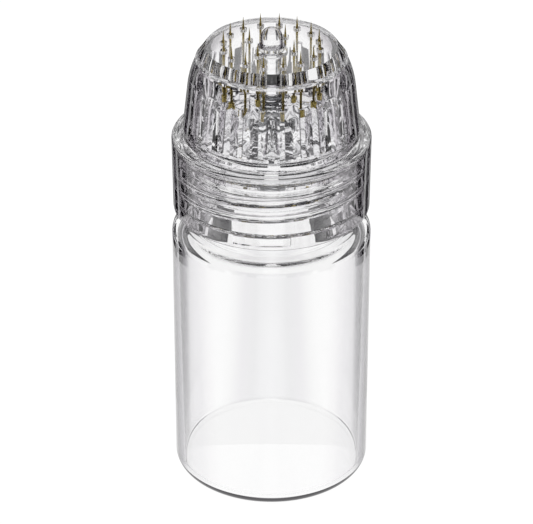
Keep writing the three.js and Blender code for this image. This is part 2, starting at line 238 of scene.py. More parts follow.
def setStops(ramp, stops, interpolation="LINEAR"):
    # fills a ramp with (place, colour) stops from 0 to 1, and gives its colour
    ramp.color_ramp.interpolation = interpolation
    elements = ramp.color_ramp.elements
    while len(elements) < len(stops):
        elements.new(1.0)
    for element, (place, tone) in zip(elements, stops):
        element.position = place
        element.color = linearColour(tone)
    return ramp.outputs["Color"]


def newMaterial(name):
    material = bpy.data.materials.new(name)
    material.use_nodes = True
    tree = material.node_tree
    return material, tree, tree.nodes["Principled BSDF"]


def softPattern(tree, size, detail):
    # an uneven pattern, fixed to the piece, whose patches are about size millimetres wide
    place = addNode(tree, "ShaderNodeTexCoord").outputs["Object"]
    noise = addNode(tree, "ShaderNodeTexNoise", {"Vector": place, "Scale": 1 / (size * mm), "Detail": detail})
    return noise.outputs["Fac"]


def unevenSkin(tree, size, detail, height):
    # the same pattern as a bump, height millimetres deep
    pattern = softPattern(tree, size, detail)
    return addNode(tree, "ShaderNodeBump", {"Strength": 1.0, "Distance": height * mm, "Height": pattern})


# painted shade: the colour of clear walls is darkened as they turn away from the eye; level faces, seen from
# above, hardly are
edgeShadeLook = {"blend": 0.5, "levelPower": 0.3}


def turnedAway(tree):
    # 0 where a wall faces the eye, 1 where it is edge on, and near 0 on level faces
    facing = addNode(tree, "ShaderNodeLayerWeight", {"Blend": edgeShadeLook["blend"]}).outputs["Facing"]
    normal = addNode(tree, "ShaderNodeNewGeometry").outputs["Normal"]
    upward = addNode(tree, "ShaderNodeSeparateXYZ", {"Vector": normal}).outputs["Z"]
    level = addNode(tree, "ShaderNodeMath", {0: upward}, operation="ABSOLUTE")
    upright = addNode(tree, "ShaderNodeMath", {0: 1.0, 1: level}, operation="SUBTRACT")
    weight = addNode(tree, "ShaderNodeMath", {0: upright, 1: edgeShadeLook["levelPower"]}, operation="POWER")
    return addNode(tree, "ShaderNodeMath", {0: facing, 1: weight}, operation="MULTIPLY")


glassLook = {
    # (turn, colour) from face on to edge on: painted shade that darkens the glass towards edge-on walls
    "edgeShadeStops": (
        (0.0, "#ffffff"), (0.31, "#fefefe"), (0.38, "#f7f6f7"), (0.43, "#eeedef"), (0.54, "#e5e4e6"),
        (0.62, "#d6d5d7"), (0.7, "#838186"), (0.8, "#444246"), (1.0, "#0a090b"),
    ),
    # painted shade: the rounded foot bends the light away, so its colour is darkened sooner: the share added,
    # and where it lies in mm
    "footShadeShare": 2.4, "footHeight": 1.2, "footRadius": 10.9,
    "ior": 1.52, "roughness": 0.0,
    "wave": 9.0, "waveDetail": 1.0,     # mm between the slow swells of the drawn wall
    "waveHeight": 0.0012,               # mm
}


def footShadeTurn(tree):
    # the turn of the vial's wall, with more of it on the rounded foot, which sets how dark the painted shade
    # is
    look = glassLook
    place = addNode(tree, "ShaderNodeTexCoord").outputs["Object"]
    x, y, z = addNode(tree, "ShaderNodeSeparateXYZ", {"Vector": place}).outputs
    flat = addNode(tree, "ShaderNodeCombineXYZ", {"X": x, "Y": y})
    reach = addNode(tree, "ShaderNodeVectorMath", {"Vector": flat}, operation="LENGTH").outputs["Value"]
    low = addNode(tree, "ShaderNodeMath", {0: z, 1: look["footHeight"] * mm}, operation="LESS_THAN")
    outer = addNode(tree, "ShaderNodeMath", {0: reach, 1: look["footRadius"] * mm}, operation="GREATER_THAN")
    onFoot = addNode(tree, "ShaderNodeMath", {0: low, 1: outer}, operation="MULTIPLY")
    more = addNode(tree, "ShaderNodeMath", {0: onFoot, 1: look["footShadeShare"]}, operation="MULTIPLY")
    turned = turnedAway(tree)
    return addNode(tree, "ShaderNodeMath", {0: more, 1: turned, 2: turned}, operation="MULTIPLY_ADD")


def sodaLimeGlass():
    # soda-lime glass, moulded and fire polished: mirror smooth, with slow swells in the wall
    look = glassLook
    material, tree, shader = newMaterial("sodaLimeGlass")
    # the base colour is painted shade: white face on, darkened towards edge-on walls and the foot
    ramp = addNode(tree, "ShaderNodeValToRGB", {"Fac": footShadeTurn(tree)})
    setInputs(tree, shader, {
        "Base Color": setStops(ramp, look["edgeShadeStops"]), "Transmission Weight": 1.0,
        "IOR": look["ior"], "Roughness": look["roughness"],
        "Normal": unevenSkin(tree, look["wave"], look["waveDetail"], look["waveHeight"]),
    })
    return material


plasticLook = {
    # (turn, colour) from face on to edge on, here and in the two lists below: painted shade that darkens
    # edge-on walls
    "edgeShadeStops": (
        (0.0, "#ffffff"), (0.3, "#f8f7f8"), (0.4, "#d0ccd1"), (0.52, "#8d888e"), (0.7, "#373439"),
    ),
    "innerEdgeShadeStops": ((0.0, "#ffffff"), (0.6, "#fdfdfe"), (0.8, "#d8d5da"), (0.97, "#6a676d")),
    "pinEdgeShadeStops": ((0.0, "#ffffff"), (0.3, "#fdfdfd"), (0.4, "#a49fa5"), (0.5, "#3a363c"), (0.7, "#141215")),
    # the inner pieces and the pin stay below the real 1.34 and 1.58, because with those the many walls
    # behind each other turn to haze
    "ior": 1.55, "innerIor": 1.04, "pinIor": 1.2,
    "roughness": 0.0,
    "flow": 3.0, "flowDetail": 2.0,     # mm between flow marks left by the mould
    "flowHeight": 0.0006,               # mm
}


def clearPlastic(name, ior, edgeShadeStops):
    # clear plastic, injection moulded in a polished tool: glossy, with faint flow marks
    look = plasticLook
    material, tree, shader = newMaterial(name)
    # the base colour is painted shade: white face on, darkened towards edge-on walls
    ramp = addNode(tree, "ShaderNodeValToRGB", {"Fac": turnedAway(tree)})
    setInputs(tree, shader, {
        "Base Color": setStops(ramp, edgeShadeStops), "Transmission Weight": 1.0,
        "IOR": ior, "Roughness": look["roughness"],
        "Normal": unevenSkin(tree, look["flow"], look["flowDetail"], look["flowHeight"]),
    })
    return material


def mottledMetal(name, look):
    # metal whose colour and gloss wander together between two values
    material, tree, shader = newMaterial(name)
    patches = softPattern(tree, look["patch"], look["patchDetail"])
    tone = addNode(tree, "ShaderNodeMix", {0: patches, 6: look["dark"], 7: look["light"]}, data_type="RGBA")
    rough = addNode(tree, "ShaderNodeMapRange", {
        "Value": patches, "To Min": look["roughnessLow"], "To Max": look["roughnessHigh"],
    })
    setInputs(tree, shader, {"Metallic": 1.0, "Base Color": tone.outputs[2], "Roughness": rough})
    return material


goldLook = {
    # gold plated over ground steel wire: warm metal with an olive shade, a little uneven in its shine
    "light": "#ddc97e", "dark": "#a8944c", "roughnessLow": 0.18, "roughnessHigh": 0.38,
    "patch": 0.5, "patchDetail": 3.0,   # mm between lighter and darker plating
}

steelLook = {
    # stainless spring wire, cold drawn: bright grey with soft drawing marks
    "light": "#b9babd", "dark": "#8a8b8e", "roughnessLow": 0.16, "roughnessHigh": 0.3,
    "patch": 0.25, "patchDetail": 2.0,  # mm between drawing marks along the wire
}

siliconeLook = {
    # the index is below the real 1.41, so that the seals don't turn to haze behind the clear walls
    "colour": "#f4f4f5", "ior": 1.06, "roughness": 0.0, "transmission": 0.98,
    "grain": 0.4, "grainDetail": 2.0,   # mm between the soft dimples of the skin
    "grainHeight": 0.004,               # mm
}


def clearSilicone():
    # translucent silicone rubber, compression moulded: a softly dimpled skin, very slightly milky
    look = siliconeLook
    material, tree, shader = newMaterial("clearSilicone")
    setInputs(tree, shader, {
        "Base Color": look["colour"], "Transmission Weight": look["transmission"],
        "IOR": look["ior"], "Roughness": look["roughness"],
        "Normal": unevenSkin(tree, look["grain"], look["grainDetail"], look["grainHeight"]),
    })
    return material


glassMaterial = sodaLimeGlass()
# the collar, dome and plate are a water-clear copolyester; the pieces inside are a fluoroplastic, whose low
# index makes them almost vanish; the pin is a polycarbonate; all three are clear, with painted shade
# darkening their edges, strongest on the pin
plasticMaterial = clearPlastic("clearCopolyester", plasticLook["ior"], plasticLook["edgeShadeStops"])
innerMaterial = clearPlastic("clearFluoroplastic", plasticLook["innerIor"], plasticLook["innerEdgeShadeStops"])
pinMaterial = clearPlastic("clearPolycarbonate", plasticLook["pinIor"], plasticLook["pinEdgeShadeStops"])
goldMaterial = mottledMetal("goldPlatedSteel", goldLook)
steelMaterial = mottledMetal("drawnSpringSteel", steelLook)
siliconeMaterial = clearSilicone()
print("materials made")


# sizes read from the frame, in millimetres

def boxOf(node):
    low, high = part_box(node)
    return low / mm, high / mm


vialHigh = boxOf("vial")[1]
collarLow, collarHigh = boxOf("screw_collar")
domeLow, domeHigh = boxOf("dome_shell")
plateLow, plateHigh = boxOf("needle_plate")
carrierLow, carrierHigh = boxOf("needle_carrier")
plugLow, plugHigh = boxOf("neck_plug")
pinLow, pinHigh = boxOf("valve_pin")

clearance = {"fit": 0.3, "seat": 0.1}
overrun = 1.0   # how far a cutter runs past the face it cuts


# screw thread: one ridge wound round the axis, then joined to its wall

threadSizes = {
    "pitch": 2.0, "depth": 0.75, "rootWidth": 1.2, "crestWidth": 0.4, "neckTurns": 1, "collarTurns": 2,
    "drop": 3.7, "bury": 0.3, "edge": 0.07, "stepsPerTurn": 144, "fadeSteps": 20, "endShare": 0.2,
}


def joinThread(piece, wallRadius, crestRadius, startZ, turns):
    s = threadSizes
    outward = 1 if crestRadius > wallRadius else -1
    buried = wallRadius - outward * s["bury"]
    root, crest, edge = s["rootWidth"] / 2, s["crestWidth"] / 2, s["edge"]
    section = [
        (buried, -root), (crestRadius - outward * edge, -crest - edge / 2), (crestRadius, -crest + edge),
        (crestRadius, crest - edge), (crestRadius - outward * edge, crest + edge / 2), (buried, root),
    ]
    deselectAll()
    bpy.ops.mesh.primitive_circle_add(vertices=len(section), radius=mm, fill_type="NOTHING")
    ridge = bpy.context.object
    for vertex, (radius, height) in zip(ridge.data.vertices, section):
        vertex.co = (radius * mm, 0, (startZ + height) * mm)
    wind = ridge.modifiers.new("wind", "SCREW")
    wind.angle = fullTurn
    wind.iterations = turns
    wind.screw_offset = s["pitch"] * mm
    wind.steps = wind.render_steps = s["stepsPerTurn"]
    bpy.ops.object.modifier_apply(modifier=wind.name)
    # the ridge sinks into its wall at both ends
    lastStep = len(ridge.data.vertices) // len(section) - 1
    for vertex in ridge.data.vertices:
        step = vertex.index // len(section)
        fade = min(1, max(s["endShare"], min(step, lastStep - step) / s["fadeSteps"]))
        radius = math.hypot(vertex.co.x, vertex.co.y)
        reach = buried * mm + (radius - buried * mm) * fade
        vertex.co.x *= reach / radius
        vertex.co.y *= reach / radius
    bpy.ops.object.mode_set(mode="EDIT")
    bpy.ops.mesh.select_all(action="SELECT")
    bpy.ops.mesh.fill_holes(sides=len(section))
    bpy.ops.mesh.select_all(action="SELECT")
    bpy.ops.mesh.normals_make_consistent(inside=False)
    bpy.ops.object.mode_set(mode="OBJECT")
    combine(piece, ridge, "UNION")


# glass vial

vialSizes = {
    "wall": 0.9, "floor": 0.8, "footRounding": 1.3, "cavityRounding": 0.8, "shoulder": 34.0,
    "shoulderRounding": 1.6, "shoulderThickness": 1.1, "shoulderWidth": 2.6, "neckWall": 1.2,
    "rimRounding": 0.3, "neckFillet": 0.35, "boreFillet": 0.4, "steps": 192,
    "outerSteps": 10, "filletSteps": 4, "lipSteps": 5, "cavitySteps": 8, "sharpDeg": 35,
}
neckRadius = vialHigh.x - vialSizes["shoulderWidth"]
neckBore = neckRadius - vialSizes["neckWall"]


def glassVial():
    s = vialSizes
    radius, rim, shoulder = vialHigh.x, vialHigh.z, s["shoulder"]
    cavity = radius - s["wall"]
    cavityTop = shoulder - s["shoulderThickness"]
    foot, rounding, soft = s["footRounding"], s["shoulderRounding"], s["cavityRounding"]
    lip, fillet, boreFillet = s["rimRounding"], s["neckFillet"], s["boreFillet"]
    outerSteps, filletSteps, lipSteps, cavitySteps = (
        s["outerSteps"], s["filletSteps"], s["lipSteps"], s["cavitySteps"],
    )
    outline = [
        (0, 0),
        *cornerPoints(radius - foot, foot, foot, -90, 0, outerSteps),
        *cornerPoints(radius - rounding, shoulder - rounding, rounding, 0, 90, outerSteps),
        *cornerPoints(neckRadius + fillet, shoulder + fillet, fillet, 270, 180, filletSteps),
        *cornerPoints(neckRadius - lip, rim - lip, lip, 0, 90, lipSteps),
        *cornerPoints(neckBore + lip, rim - lip, lip, 90, 180, lipSteps),
        *cornerPoints(neckBore + boreFillet, cavityTop + boreFillet, boreFillet, 180, 270, filletSteps),
        *cornerPoints(cavity - soft, cavityTop - soft, soft, 90, 0, cavitySteps),
        *cornerPoints(cavity - soft, s["floor"] + soft, soft, 0, -90, cavitySteps),
        (0, s["floor"]),
    ]
    vial = turnedPiece("glassVial", outline, s["steps"])
    t = threadSizes
    joinThread(vial, neckRadius, neckRadius + t["depth"], rim - t["drop"] + t["pitch"] / 2, t["neckTurns"])
    smoothPiece(vial, s["sharpDeg"])
    return finishPiece(vial, glassMaterial, "bottle", "vial")


# plug in the neck

plugSizes = {
    "bore": 5.2, "wall": 0.7, "web": 1.0, "flange": 0.6, "flangeInset": 0.2, "rounding": 0.15,
    "steps": 144, "sharpDeg": 50,
}


def neckPlug():
    s = plugSizes
    foot, top, sleeve = plugLow.z, plugHigh.z, neckBore - clearance["fit"]
    tube, edge = s["bore"] + s["wall"], s["rounding"]
    webBottom, flangeBottom = top - s["web"], top - s["flange"]
    flange = neckRadius - s["flangeInset"]
    outline = [
        *cornerPoints(s["bore"] + edge, foot + edge, edge, 180, 270),
        *cornerPoints(tube - edge, foot + edge, edge, 270, 360),
        *cornerPoints(tube + edge, webBottom - edge, edge, 180, 90),
        *cornerPoints(sleeve - s["wall"] - edge, webBottom - edge, edge, 90, 0),
        *cornerPoints(sleeve - s["wall"] + edge, foot + edge, edge, 180, 270),
        *cornerPoints(sleeve - edge, foot + edge, edge, 270, 360),
        (sleeve, flangeBottom),
        *cornerPoints(flange - edge, flangeBottom + edge, edge, 270, 360),
        *cornerPoints(flange - edge, top - edge, edge, 0, 90),
        *cornerPoints(s["bore"] + edge, top - edge, edge, 90, 180),
    ]
    plug = turnedPiece("neckPlug", outline, s["steps"])
    smoothPiece(plug, s["sharpDeg"])
    return finishPiece(plug, innerMaterial, "bottle", "neck_plug")


# screw collar

collarSizes = {
    "wall": 1.45, "draft": 0.1, "rounding": 0.4, "edge": 0.12, "lip": 1.2, "lipRadius": 10.2,
    "flangeBore": 11.0, "chamfer": 0.4, "skirtWall": 0.85, "skirtHeight": 1.6, "transition": 0.3,
    "lugCount": 6, "lugSpan": 35, "lugTurn": -96, "lugReach": 0.6, "lugDrop": 0.1, "wallSlack": 0.05,
    "steps": 216, "footSteps": 6, "topSteps": 8, "sharpDeg": 35,
}


def screwCollar():
    s = collarSizes
    radius, low, high = collarHigh.x, collarLow.z, collarHigh.z
    bore = radius - s["wall"]
    skirtBore = radius - s["skirtWall"]
    skirtTop, lipBottom, headBottom = low + s["skirtHeight"], high - s["lip"], domeLow.z
    boreTop = headBottom - clearance["fit"] - s["chamfer"]
    foot, rounding, edge = radius - s["draft"], s["rounding"], s["edge"]
    lugBottom, lugTop = low + rounding, skirtTop - s["lugDrop"]
    outline = [
        *cornerPoints(skirtBore + edge, low + edge, edge, 180, 270),
        *cornerPoints(foot - rounding, low + rounding, rounding, 270, 360, s["footSteps"]),
        *cornerPoints(radius - rounding, high - rounding, rounding, 0, 90, s["topSteps"]),
        *cornerPoints(s["lipRadius"] + edge, high - edge, edge, 90, 180),
        *cornerPoints(s["lipRadius"] + edge, lipBottom + edge, edge, 180, 270),
        (s["flangeBore"], lipBottom),
        (s["flangeBore"], boreTop + s["chamfer"]),
        (bore, boreTop),
        (bore, skirtTop + s["transition"]),
        (skirtBore, skirtTop),
        (skirtBore, lugTop),
        (skirtBore, lugBottom),
    ]
    collar = turnedPiece("screwCollar", outline, s["steps"])
    # the lugs grow inward from the skirt's inner wall
    selectWall(
        collar, s["lugCount"], s["lugTurn"], math.radians(s["lugSpan"]) / 2,
        (skirtBore - s["wallSlack"], skirtBore + s["wallSlack"]), (lugBottom, lugTop),
    )
    growOut(collar, s["lugReach"])
    startZ = vialHigh.z - threadSizes["drop"]
    joinThread(collar, bore, neckRadius + clearance["fit"], startZ, threadSizes["collarTurns"])
    smoothPiece(collar, s["sharpDeg"])
    return finishPiece(collar, plasticMaterial, "collar", "screw_collar")


# dome shell

domeSizes = {
    "topWidth": 1.3, "grooveDepth": 0.7, "grooveWall": 0.9, "flange": 0.7, "wall": 0.9, "wallHeight": 6.0,
    "taper": 0.67, "innerStep": 0.8, "crownInset": 2.18, "crownBulge": 0.42, "plateSeal": 0.2,
    "edge": 0.12, "rimEdge": 0.04, "ribs": 24, "columnsPerRib": 8, "ribColumns": 2, "ribDepth": 0.45,
    "ribRise": 0.96, "fluteDepth": 0.25, "fluteRise": 0.2, "fluteRunOut": 1.6,
    "facetDeg": 6,      # so low that the flutes keep flat sides, like cut crystal
    "arcSteps": 48, "keepEvery": 4,
}
domeBase = collarHigh.x - domeSizes["topWidth"]
domeWallBottom = collarHigh.z + clearance["fit"]
crownBottom = domeWallBottom + domeSizes["wallHeight"]
crownFoot = domeBase - domeSizes["taper"]
crownOutside = ((crownFoot, crownBottom), (crownFoot - domeSizes["crownInset"], plateHigh.z))


def crownPoints(inset, lowZ, highZ):
    # the crown's arc, moved inward and cut off between two heights
    (startR, startZ), (endR, endZ) = crownOutside
    start, end = (startR - inset, startZ), (endR - inset, endZ)
    arc = bulgedPoints(start, end, domeSizes["crownBulge"], domeSizes["arcSteps"])
    points = []
    for (radiusA, heightA), (radiusB, heightB) in zip(arc, arc[1:]):
        for cut in (lowZ, highZ):
            if heightA < cut < heightB:
                share = (cut - heightA) / (heightB - heightA)
                points.append((radiusA + (radiusB - radiusA) * share, cut))
        if lowZ < heightB < highZ:
            points.append((radiusB, heightB))
    return sorted(points, key=lambda point: point[1])


def fluteWall(dome, lowZ, highZ):
    # shallow flutes between the ribs: each strip of inner wall rises to a soft edge in its middle
    s = domeSizes
    pitch = fullTurn / s["ribs"]
    flank = pitch / 2 * (1 - s["ribColumns"] / s["columnsPerRib"])
    for vertex in dome.data.vertices:
        radius = math.hypot(vertex.co.x, vertex.co.y)
        inward = vertex.normal.x * vertex.co.x + vertex.normal.y * vertex.co.y < -radius / 2
        if inward and lowZ < vertex.co.z / mm < highZ:
            angle = (math.atan2(vertex.co.y, vertex.co.x) + pitch / 2) % pitch - pitch / 2
            runOut = (highZ - vertex.co.z / mm) / s["fluteRunOut"]
            share = max(0.0, 1 - abs(angle) / flank) * min(1.0, runOut)
            vertex.co.x *= 1 - s["fluteDepth"] * mm * share / radius
            vertex.co.y *= 1 - s["fluteDepth"] * mm * share / radius


def domeShell():
    s = domeSizes
    groove = domeBase - s["grooveDepth"]
    bore = groove - s["grooveWall"]
    flange, low = domeHigh.x, domeLow.z
    rim = plateLow.z - s["plateSeal"] - 2 * clearance["seat"]
    innerFoot, innerTop = domeBase - s["wall"], crownFoot - s["wall"]
    edge, rimEdge, keep = s["edge"], s["rimEdge"], s["keepEvery"]
    ribBottom, ribTop = domeWallBottom + s["innerStep"] + clearance["fit"], crownBottom + s["ribRise"]
    outside = crownPoints(0, crownBottom, rim - rimEdge)[::keep]
    inside = crownPoints(s["wall"], crownBottom, rim - rimEdge)
    ribbed = [point for point in inside if point[1] < ribTop][::keep]
    plain = crownPoints(s["wall"], ribTop, rim - rimEdge)[::keep]
    outline = [
        *cornerPoints(bore + edge, low + edge, edge, 180, 270),
        *cornerPoints(flange - edge, low + edge, edge, 270, 360),
        *cornerPoints(flange - edge, low + s["flange"] - edge, edge, 0, 90),
        (groove, low + s["flange"]),
        (groove, domeWallBottom),
        *cornerPoints(domeBase - edge, domeWallBottom + edge, edge, 270, 360),
        (crownFoot, crownBottom),
        *outside,
        (outside[-1][0] - rimEdge, rim),
        (inside[-1][0] + rimEdge, rim),
        *reversed(ribbed + plain),
        (innerTop, crownBottom),
        (innerFoot - (innerFoot - innerTop) * (ribBottom - domeWallBottom) / s["wallHeight"], ribBottom),
        (innerFoot, domeWallBottom + s["innerStep"]),
        (bore, domeWallBottom),
    ]
    columns = s["ribs"] * s["columnsPerRib"]
    dome = turnedPiece("domeShell", outline, columns)
    selectWall(
        dome, s["ribs"], 180 / s["ribs"], s["ribColumns"] / 2 * fullTurn / columns,
        (inside[-1][0] - edge, innerFoot + edge), (ribBottom, ribTop),
    )
    growOut(dome, s["ribDepth"])
    fluteWall(dome, ribBottom - edge, ribTop + s["fluteRise"])
    smoothPiece(dome, s["facetDeg"])
    return finishPiece(dome, plasticMaterial, "head", "dome_shell")


# needle plate and needles

needleRings = {
    "outerRadius": 5.72, "outerCount": 16, "outerTurn": 13.35,
    "innerRadius": 3.06, "innerCount": 4, "innerTurn": 58.35,
}
needlePlaces = (
    ringPlaces(needleRings["outerRadius"], needleRings["outerCount"], needleRings["outerTurn"])
    + ringPlaces(needleRings["innerRadius"], needleRings["innerCount"], needleRings["innerTurn"])
)

plateSizes = {"serumHole": 0.42, "nubHole": 1.6, "nubHoleSides": 64, "edge": 0.05, "steps": 144}


def needlePlate():
    s = plateSizes
    low, high, edge = plateLow.z, plateHigh.z, s["edge"]
    rim = crownPoints(0, low + edge, high - edge)[::domeSizes["keepEvery"]]
    outline = [
        (0, low),
        (rim[0][0] - edge, low),
        *rim,
        (rim[-1][0] - edge, high),
        (0, high),
    ]
    plate = turnedPiece("needlePlate", outline, s["steps"])
    below, above = low - overrun, high + overrun
    combine(plate, holeCutters(needlePlaces, s["serumHole"], below, above), "DIFFERENCE")
    combine(plate, holeCutters([(0, 0)], s["nubHole"], below, above, s["nubHoleSides"]), "DIFFERENCE")
    smoothPiece(plate)
    return finishPiece(plate, plasticMaterial, "head", "needle_plate")


needleSizes = {
    "shaft": 0.14, "foot": 0.32, "footHeight": 0.9, "footEdge": 0.05, "point": 1.5, "pointStart": 0.1,
    "tip": 0.012, "tipHeight": 0.02, "steps": 24, "footTopDeg": 60, "sharpDeg": 60,
    # the ground point, as shares of the shaft's radius and the point's length
    "startShare": 0.97, "middleShare": 0.5, "middleHeightShare": 0.45,
}


def goldNeedles():
    s = needleSizes
    names = sorted(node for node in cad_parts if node.startswith("needle_") and node[-2:].isdigit())
    edge, shaft, point = s["footEdge"], s["shaft"], s["point"]
    for name, (x, y) in zip(names, needlePlaces):
        low, high = boxOf(name)
        base, tip = low.z, high.z
        outline = [
            (0, base),
            *cornerPoints(s["foot"] - edge, base + edge, edge, 270, 360),
            *cornerPoints(s["foot"] - edge, base + s["footHeight"] - edge, edge, 0, s["footTopDeg"]),
            (shaft, base + s["footHeight"] + shaft),
            (shaft, tip - point - s["pointStart"]),
            (shaft * s["startShare"], tip - point + s["pointStart"] / 2),
            (shaft * s["middleShare"], tip - point * s["middleHeightShare"]),
            (s["tip"], tip - s["tipHeight"]),
            (0, tip),
        ]
        needle = turnedPiece("goldNeedle" + name[-2:], outline, s["steps"])
        for vertex in needle.data.vertices:
            vertex.co += Vector((x * mm, y * mm, 0))
        smoothPiece(needle, s["sharpDeg"])
        finishPiece(needle, goldMaterial, "head", name)


# needle carrier

carrierSizes = {
    "flange": 0.8, "floor": 0.6, "drum": 6.72, "drumWall": 0.7, "deck": 1.3, "tubeBore": 2.05,
    "tubeWall": 0.65, "stemBore": 1.25, "edge": 0.1, "seatDepth": 1.0, "needleSeat": 0.42,
    "feedHole": 0.5, "feedCount": 4, "feedRadius": 4.39, "feedTurn": -45, "steps": 144, "chamberSteps": 96,
    "slots": 4, "slotTurn": 45, "slotWidth": 0.8, "slotHeight": 2.2,
}


def slotCutters(floorTop):
    # upright slots through the valve tube's wall, which let the serum into the chamber
    s = carrierSizes
    reach = s["tubeBore"] + s["tubeWall"] / 2
    cutters = []
    for i in range(s["slots"]):
        angle = math.radians(s["slotTurn"]) + fullTurn * i / s["slots"]
        x, y = reach * math.cos(angle) * mm, reach * math.sin(angle) * mm
        deselectAll()
        bpy.ops.mesh.primitive_cube_add(
            size=mm, rotation=(0, 0, angle), location=(x, y, (floorTop + s["slotHeight"]) * mm),
            scale=(s["tubeWall"] * 2, s["slotWidth"], s["slotHeight"]),
        )
        cutters.append(bpy.context.object)
    return joinedCutters(cutters)


def needleCarrier():
    s = carrierSizes
    flangeRadius, low, high = carrierHigh.x, carrierLow.z, carrierHigh.z
    floorTop, flangeTop, deckBottom = low + s["floor"], low + s["flange"], high - s["deck"]
    tube, chamber, edge = s["tubeBore"] + s["tubeWall"], s["drum"] - s["drumWall"], s["edge"]
    outline = [
        (s["stemBore"], low),
        *cornerPoints(flangeRadius - edge, low + edge, edge, 270, 360),
        *cornerPoints(flangeRadius - edge, flangeTop - edge, edge, 0, 90),
        (s["drum"], flangeTop),
        *cornerPoints(s["drum"] - edge, high - edge, edge, 0, 90),
        *cornerPoints(s["tubeBore"] + edge, high - edge, edge, 90, 180),
        (s["tubeBore"], floorTop),
        (s["stemBore"], floorTop),
    ]
    carrier = turnedPiece("needleCarrier", outline, s["steps"])
    room = [(tube, floorTop), (chamber, floorTop), (chamber, deckBottom), (tube, deckBottom)]
    combine(carrier, turnedPiece("chamberCutter", room, s["chamberSteps"]), "DIFFERENCE")
    seatBottom, above = high - s["seatDepth"], high + overrun
    combine(carrier, holeCutters(needlePlaces, s["needleSeat"], seatBottom, above), "DIFFERENCE")
    feeds = ringPlaces(s["feedRadius"], s["feedCount"], needleRings["innerTurn"] + s["feedTurn"])
    combine(carrier, holeCutters(feeds, s["feedHole"], deckBottom - overrun / 2, above), "DIFFERENCE")
    combine(carrier, slotCutters(floorTop), "DIFFERENCE")
    smoothPiece(carrier)
    return finishPiece(carrier, innerMaterial, "head", "needle_carrier")


# valve seat plate, gasket, seals and washer: rings with soft edges

ringSizes = {
    "seatPlateBore": 1.25, "seatPlateEdge": 0.12, "gasketBore": 7.0, "gasketEdge": 0.22,
    "plateSealWidth": 0.5, "plateSealEdge": 0.05, "washerBore": 1.05, "washerEdge": 0.08,
    "sealBore": 1.05, "sealEdge": 0.2, "wideSteps": 144, "plateSealSteps": 128, "smallSteps": 64,
    "edgeSteps": 4, "sharpDeg": 50,
}


def roundedRing(name, node, innerRadius, edge, steps):
    # a ring with soft edges that fills a ring-shaped node's box
    low, high = boxOf(node)
    edgeSteps = ringSizes["edgeSteps"]
    outline = [
        *cornerPoints(innerRadius + edge, low.z + edge, edge, 180, 270, edgeSteps),
        *cornerPoints(high.x - edge, low.z + edge, edge, 270, 360, edgeSteps),
        *cornerPoints(high.x - edge, high.z - edge, edge, 0, 90, edgeSteps),
        *cornerPoints(innerRadius + edge, high.z - edge, edge, 90, 180, edgeSteps),
    ]
    ring = turnedPiece(name, outline, steps)
    smoothPiece(ring, ringSizes["sharpDeg"])
    return ring


def smallRings():
    s = ringSizes
    wide, small = s["wideSteps"], s["smallSteps"]
    seat = roundedRing("valveSeatPlate", "valve_seat_plate", s["seatPlateBore"], s["seatPlateEdge"], wide)
    finishPiece(seat, innerMaterial, "head", "valve_seat_plate")
    gasket = roundedRing("mouthGasket", "mouth_gasket", s["gasketBore"], s["gasketEdge"], wide)
    finishPiece(gasket, siliconeMaterial, "head", "mouth_gasket")
    sealBore = boxOf("plate_seal")[1].x - s["plateSealWidth"]
    plateSeal = roundedRing("plateSeal", "plate_seal", sealBore, s["plateSealEdge"], s["plateSealSteps"])
    finishPiece(plateSeal, siliconeMaterial, "head", "plate_seal")
    washer = roundedRing("springWasher", "spring_washer", s["washerBore"], s["washerEdge"], small)
    finishPiece(washer, steelMaterial, "valve", "spring_washer")
    valveSeal = roundedRing("valveSeal", "valve_seal", s["sealBore"], s["sealEdge"], small)
    finishPiece(valveSeal, siliconeMaterial, "valve", "valve_seal")


# valve pin and spring

pinSizes = {
    "nub": 1.3, "stop": 1.9, "stopThickness": 0.5, "stem": 0.95, "shank": 1.15, "foot": 1.7,
    "footThickness": 0.5, "edge": 0.08, "steps": 96, "nubEndDeg": 84, "nubSteps": 16, "sharpDeg": 40,
}


def valvePin():
    s = pinSizes
    low, top, edge = pinLow.z, pinHigh.z, s["edge"]
    stopTop = plateLow.z - clearance["seat"]
    stopBottom = stopTop - s["stopThickness"]
    shankBottom = carrierHigh.z - clearance["seat"]
    outline = [
        (0, low),
        *cornerPoints(s["foot"] - edge, low + edge, edge, 270, 360),
        *cornerPoints(s["foot"] - edge, low + s["footThickness"] - edge, edge, 0, 90),
        (s["stem"], low + s["footThickness"]),
        (s["stem"], shankBottom),
        (s["shank"], shankBottom),
        (s["shank"], stopBottom),
        *cornerPoints(s["stop"] - edge, stopBottom + edge, edge, 270, 360),
        *cornerPoints(s["stop"] - edge, stopTop - edge, edge, 0, 90),
        (s["nub"], stopTop),
        *cornerPoints(0, top - s["nub"], s["nub"], 0, s["nubEndDeg"], s["nubSteps"]),
        (0, top),
    ]
    pin = turnedPiece("valvePin", outline, s["steps"])
    smoothPiece(pin, s["sharpDeg"])
    return finishPiece(pin, pinMaterial, "valve", "valve_pin")


springSizes = {
    "wire": 0.17, "wireRounding": 3, "radius": 1.5, "turns": 5, "stepsPerTurn": 32, "riseShare": 0.6,
    "travel": 2.0, "sharpDeg": 50,
}


